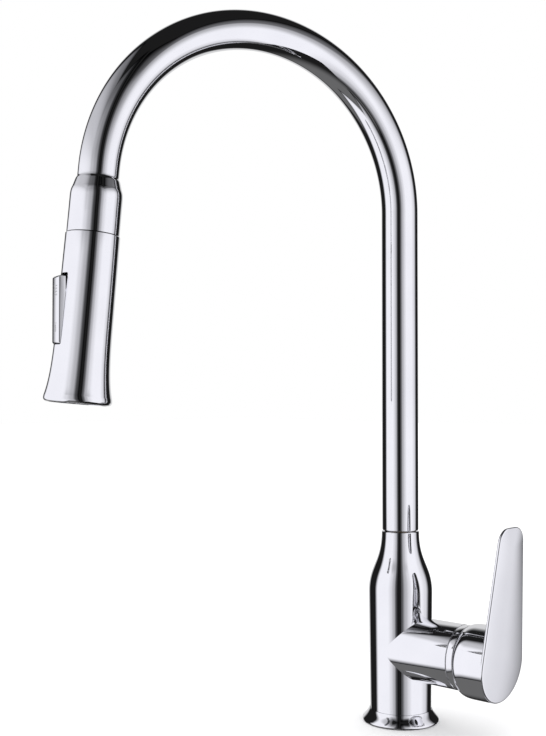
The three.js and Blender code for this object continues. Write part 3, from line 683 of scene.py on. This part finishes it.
def collar_outside():
    """(distance, radius) down the collar: a soft start, a cone, and a straight sleeve with a fine edge."""
    start = bezier((0, TUBE_R), (2.4, TUBE_R), (1.6, TUBE_R + 0.4), (3.4, TUBE_R + 1), 8)
    shoulder = bezier(
        (COLLAR_CONE - 2.6, COLLAR_R - 1),
        (COLLAR_CONE - 0.6, COLLAR_R - 0.2),
        (COLLAR_CONE + 0.6, COLLAR_R - 0.05),
        (COLLAR_CONE + 3.4, COLLAR_R),
        10,
    )
    end = COLLAR_LEN
    sleeve = [(22, COLLAR_R), (end - 0.25, COLLAR_R), (end - 0.07, COLLAR_R - 0.07), (end, COLLAR_R - 0.25)]
    cone = [(distance - 1.2, radius) for distance, radius in start + shoulder]
    return [(COLLAR_TOP + distance, radius) for distance, radius in cone + sleeve]


def make_spout():
    loops = [spout_loop(distance, radius) for distance, radius in spout_stations()]
    piece("gooseneck", [loops_mesh(loops, True)], UP, FINISH["chrome"], "spout", ["spout_tube"])


def make_hose():
    """The braided hose, on no body. Inside the collar its braid is laid up short, by up to the pull's length.
    """
    hidden = RISE + ARC_R * 2.2
    pulled_from = COLLAR_TOP - 3.6
    end = COLLAR_TOP + COLLAR_LEN + HEAD_SEAM - 14.2
    stations = [*np.linspace(hidden, COLLAR_TOP - 4, 24), *np.linspace(pulled_from, end, 90)]
    sides = 40
    loops = [spout_loop(s, HOSE_R, sides) for s in stations]
    verts, faces = loops_mesh(loops, False)
    count = len(loops)
    faces.append(tuple(range(sides)))
    faces.append(tuple((count - 1) * sides + i for i in range(sides)))
    mesh = bpy.data.meshes.new("braided_hose")
    mesh.from_pydata([tuple(Vector(v) * MM) for v in verts], [], faces)
    span = end - pulled_from
    layer = mesh.uv_layers.new(name="braid")
    for face in mesh.polygons:
        seam = face.index < len(faces) - 2 and face.index % sides == sides - 1
        for loop_index in face.loop_indices:
            index = mesh.loops[loop_index].vertex_index
            station, around = divmod(index, sides)
            if seam and around == 0:
                around = sides
            share = max(0.0, (stations[station] - pulled_from) / span)
            eased = share * share * (3 - 2 * share)
            layer.data[loop_index].uv = (around / sides, (stations[station] + HOSE_PULL * eased) * MM)
    mesh.validate()
    hose = finish_piece("braided_hose", mesh, FINISH["braid"], None, (), 60)
    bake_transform(hose)
    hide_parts("pull_hose")


# ---------- spray head ----------
def head_flare(offset, steps):
    """The head's outside from its waist to the mouth, moved in by offset."""
    return bezier(
        (HEAD_R - offset, -58),
        (HEAD_R + 0.2 - offset, -77),
        (HEAD_R + 1.1 - offset, -89),
        (HEAD_MOUTH_R - 0.1 - offset, -97.3),
        steps,
    )


def head_profile():
    rim = 2.3
    mouth = HEAD_MOUTH_R - 2.8
    return [
        (NECK_OUT_R + GAP, 0),
        (HEAD_TOP_R - 0.35, 0),
        *arc((HEAD_TOP_R - 0.35, -0.35), 0.35, 80, 0, 4),
        (HEAD_TOP_R + 0.13, -20),
        (HEAD_R - 0.1, -44),
        *head_flare(0, 30),
        *arc((HEAD_MOUTH_R - rim, -HEAD_LEN + rim), rim, 8, -90, 12),
        (mouth + 0.3, -HEAD_LEN),
        (mouth, -HEAD_LEN + 0.3),
        (mouth, -HEAD_LEN + 2.6),
        *head_flare(HEAD_WALL + 0.2, 16)[::-1],
        (HEAD_TOP_R - HEAD_WALL, -2),
        (NECK_OUT_R + GAP, -2),
    ]


def make_head_shell():
    """The chrome shell, with the rocker's slot cut through its wall."""
    shell = piece("spray_head_shell", [turned(head_profile(), 256)], HEAD, FINISH["chrome"], None)
    half_w = ROCKER_W / 2 + 0.35
    low, high = SLOT_H
    slot = bevelled_box((-half_w, half_w), (-30, -9), (low, high), 1.2)
    slot.matrix_world = HEAD
    cut = shell.modifiers.new("slot", "BOOLEAN")
    cut.operation = "DIFFERENCE"
    cut.solver = "EXACT"
    cut.object = slot
    bpy.context.view_layer.update()
    mesh = bpy.data.meshes.new_from_object(shell.evaluated_get(bpy.context.evaluated_depsgraph_get()))
    shell.modifiers.clear()
    shell.data = mesh
    bpy.data.objects.remove(slot)
    mesh.set_sharp_from_angle(angle=math.radians(25))
    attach(shell, "spray_head")
    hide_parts("spray_shell")


def prism(corners, run):
    """A new bmesh of a face's corners, in mm, extruded along a vector in mm."""
    bm = bmesh.new()
    face = bm.faces.new([bm.verts.new(Vector(corner) * MM) for corner in corners])
    made = bmesh.ops.extrude_face_region(bm, geom=[face])["geom"]
    moved = [part for part in made if isinstance(part, bmesh.types.BMVert)]
    bmesh.ops.translate(bm, verts=moved, vec=Vector(run) * MM)
    return bm


def round_edges(bm, edges, radius, segments):
    bevel = {"offset": radius * MM, "segments": segments, "affect": "EDGES", "profile": 0.5}
    bmesh.ops.bevel(bm, geom=edges, clamp_overlap=True, **bevel)
    bmesh.ops.recalc_face_normals(bm, faces=bm.faces)


def bevelled_box(x, y, z, radius):
    """A box with its edges along Y rounded, as a cutter."""
    corners = [(x[0], y[0], z[0]), (x[1], y[0], z[0]), (x[1], y[0], z[1]), (x[0], y[0], z[1])]
    bm = prism(corners, (0, y[1] - y[0], 0))
    across = [e for e in bm.edges if abs(e.verts[0].co.y - e.verts[1].co.y) > 1e-6]
    round_edges(bm, across, radius, 5)
    mesh = bpy.data.meshes.new("slot_cutter")
    bm.to_mesh(mesh)
    bm.free()
    obj = bpy.data.objects.new("slot_cutter", mesh)
    bpy.context.collection.objects.link(obj)
    return obj


def rocker_outline():
    """The rocker seen from the side, as (distance out, height)."""
    low, high = ROCKER_H
    out, h = ROCKER_PIVOT
    return [
        (12.8, low),
        (16.2, low),
        (16.9, low + 0.8),
        (20.4, high - 1.2),
        (19.6, high),
        (16.4, high),
        (14.9, h + 4),
        (out + 1.4, h + 2),
        (out + 1.4, h - 2),
        (13.9, h - 4),
    ]


def make_rocker():
    bm = prism([(-ROCKER_W / 2, -out, h) for out, h in rocker_outline()], (ROCKER_W, 0, 0))
    outer = [e for e in bm.edges if all(-v.co.y > 15.9 * MM for v in e.verts)]
    round_edges(bm, outer, 0.4, 4)
    mesh = bpy.data.meshes.new("rocker_cap")
    bm.to_mesh(mesh)
    bm.free()
    mesh.transform(HEAD)
    finish_piece("rocker_cap", mesh, FINISH["chrome"], "rocker", ["rocker_button"], 20)


def face_point(x, h):
    """A point just proud of the rocker's outer face."""
    outline = rocker_outline()
    (out0, h0), (out1, h1) = outline[2], outline[3]
    out = out0 + (out1 - out0) * (h - h0) / (h1 - h0)
    return Vector((x, -(out + 0.02), h))


def stroke(x0, h0, x1, h1, width):
    """A raised printed bar between two places on the rocker's face."""
    start, end = face_point(x0, h0), face_point(x1, h1)
    run = (end - start).normalized()
    normal = (face_point(1, 0) - face_point(0, 0)).cross(face_point(0, 1) - face_point(0, 0)).normalized()
    side = run.cross(normal) * (width / 2)
    low = [start - side, end - side, end + side, start + side]
    high = [p + normal * 0.05 * (1 if normal.y < 0 else -1) for p in low]
    faces = [(0, 1, 2, 3), (4, 5, 6, 7), (0, 1, 5, 4), (1, 2, 6, 5), (2, 3, 7, 6), (3, 0, 4, 7)]
    return [tuple(p) for p in low + high], faces


def make_rocker_marks():
    """Plain marks: falling drops under a bar for spray at the top, one solid line for stream below."""
    top = ROCKER_H[1] - 6
    marks = [stroke(-2.6, top, 2.6, top, 0.5)]
    for x in (-2.2, -0.75, 0.75, 2.2):
        for row in range(3):
            start = top - 1.2 - row * 1.8
            marks.append(stroke(x, start, x, start - 1.0, 0.42))
    low = ROCKER_H[0] + 12
    marks.append(stroke(-1.6, low, 1.6, low, 0.5))
    marks += [stroke(x, low - 0.9, x, low - 5.2, 0.42) for x in (-0.6, 0.6)]
    piece("rocker_marks", marks, HEAD, FINISH["mark"], "rocker")


def make_spray_face():
    """The grey face plate, the rubber nozzles that stand through it, and the aerator."""
    z = -HEAD_LEN + 3.0
    plate = rounded([(6.9, z, 0.3), (17.2, z, 0.5), (17.2, z + 2.8, 0), (6.9, z + 2.8, 0)])
    piece("spray_face_plate", [turned(plate)], HEAD, FINISH["grey_plastic"], "spray_head", ["spray_face"])
    shells = [turned([(7.4, -94.9), (16.4, -94.9), (16.4, -92.6), (7.4, -92.6)], 64)]
    tip = [(0, -99), (0.25, -99), (0.3, -98.6), (0.62, -98.7), (0.74, -98.5), (1, z), (1, -94.5), (0, -94.5)]
    for radius, count in NOZZLE_RINGS:
        for i in range(count):
            angle = 2 * math.pi * i / count
            verts, faces = turned(tip, 20)
            shells.append((verts + (radius * math.cos(angle), radius * math.sin(angle), 0), faces))
    piece("nozzles", shells, HEAD, FINISH["nozzle_rubber"], "spray_head", ["nozzle_mat"])
    cup = rounded([(4.9, -98.6, 0.2), (6.5, -98.6, 0.3), (6.5, -86, 0), (4.9, -86, 0)])
    piece("aerator_cup", [turned(cup)], HEAD, FINISH["white_plastic"], "spray_head", ["aerator_housing"])
    make_screen()


def make_screen():
    """The aerator's woven screen, as crossed wires inside its cup."""
    shells = [turned([(4.1, -97.3), (4.6, -97.3), (4.6, -96.4), (4.1, -96.4)], 48)]
    for offset in np.arange(-3.6, 3.7, 0.9):
        half = math.sqrt(4.3**2 - offset**2)
        shells.append(wire((offset, -half, -96.9), (offset, half, -96.9)))
        shells.append(wire((-half, offset, -96.7), (half, offset, -96.7)))
    piece("aerator_mesh", shells, HEAD, FINISH["steel"], "spray_head", ["aerator_screen"])


def wire(start, end, radius=0.12):
    """A straight round wire between two points."""
    start, end = Vector(start), Vector(end)
    run = (end - start).normalized()
    side = run.orthogonal()
    up = run.cross(side)
    angles = np.linspace(0, 2 * math.pi, 8, endpoint=False)
    ring = np.outer(np.cos(angles), side) + np.outer(np.sin(angles), up)
    loops = [np.array(p) + ring * radius for p in (start, end)]
    verts, faces = loops_mesh(loops, False)
    faces += [tuple(range(8)), tuple(range(8, 16))]
    return verts, faces


def make_neck():
    """What shows when the head is pulled out of its dock."""
    neck = [
        (9.2, -5, 0),
        (14, -5, 0),
        (14, -2.4, 0),
        (NECK_OUT_R, -2.4, 0),
        (NECK_OUT_R, NECK_TOP_H, 1.2),
        (9.2, NECK_TOP_H, 0.4),
    ]
    grey = FINISH["grey_plastic"]
    piece("docking_neck_skin", [turned(rounded(neck), 96)], HEAD, grey, "spray_head", ["docking_neck"])
    low = NECK_TOP_H + GAP
    plate = rounded([(7.8, low, 0.1), (11.6, low, 0.2), (11.6, low + 1.2, 0.4), (7.8, low + 1.2, 0.2)])
    piece("dock_plate_skin", [turned(plate, 96)], HEAD, FINISH["steel"], "spray_head", ["dock_plate"])
    crimps = [(7.2 - 0.35 * (k % 2), 16 + 1.6 * k) for k in range(10)]
    ferrule = [(HOSE_R + GAP, 13.5), (7.2, 13.5), *crimps, (7.2, 33.4), (6.8, 34), (HOSE_R + GAP, 34)]
    piece("ferrule_skin", [turned(ferrule, 64)], HEAD, FINISH["steel"], "hose_end", ["hose_ferrule"], 60)


# ---------- scene ----------
make_camera()
make_studio()
dress_cad_nodes()
make_hose()
make_base()
make_body()
make_arm_trim()
make_handle()
make_spout()
make_head_shell()
make_rocker()
make_rocker_marks()
make_spray_face()
make_neck()
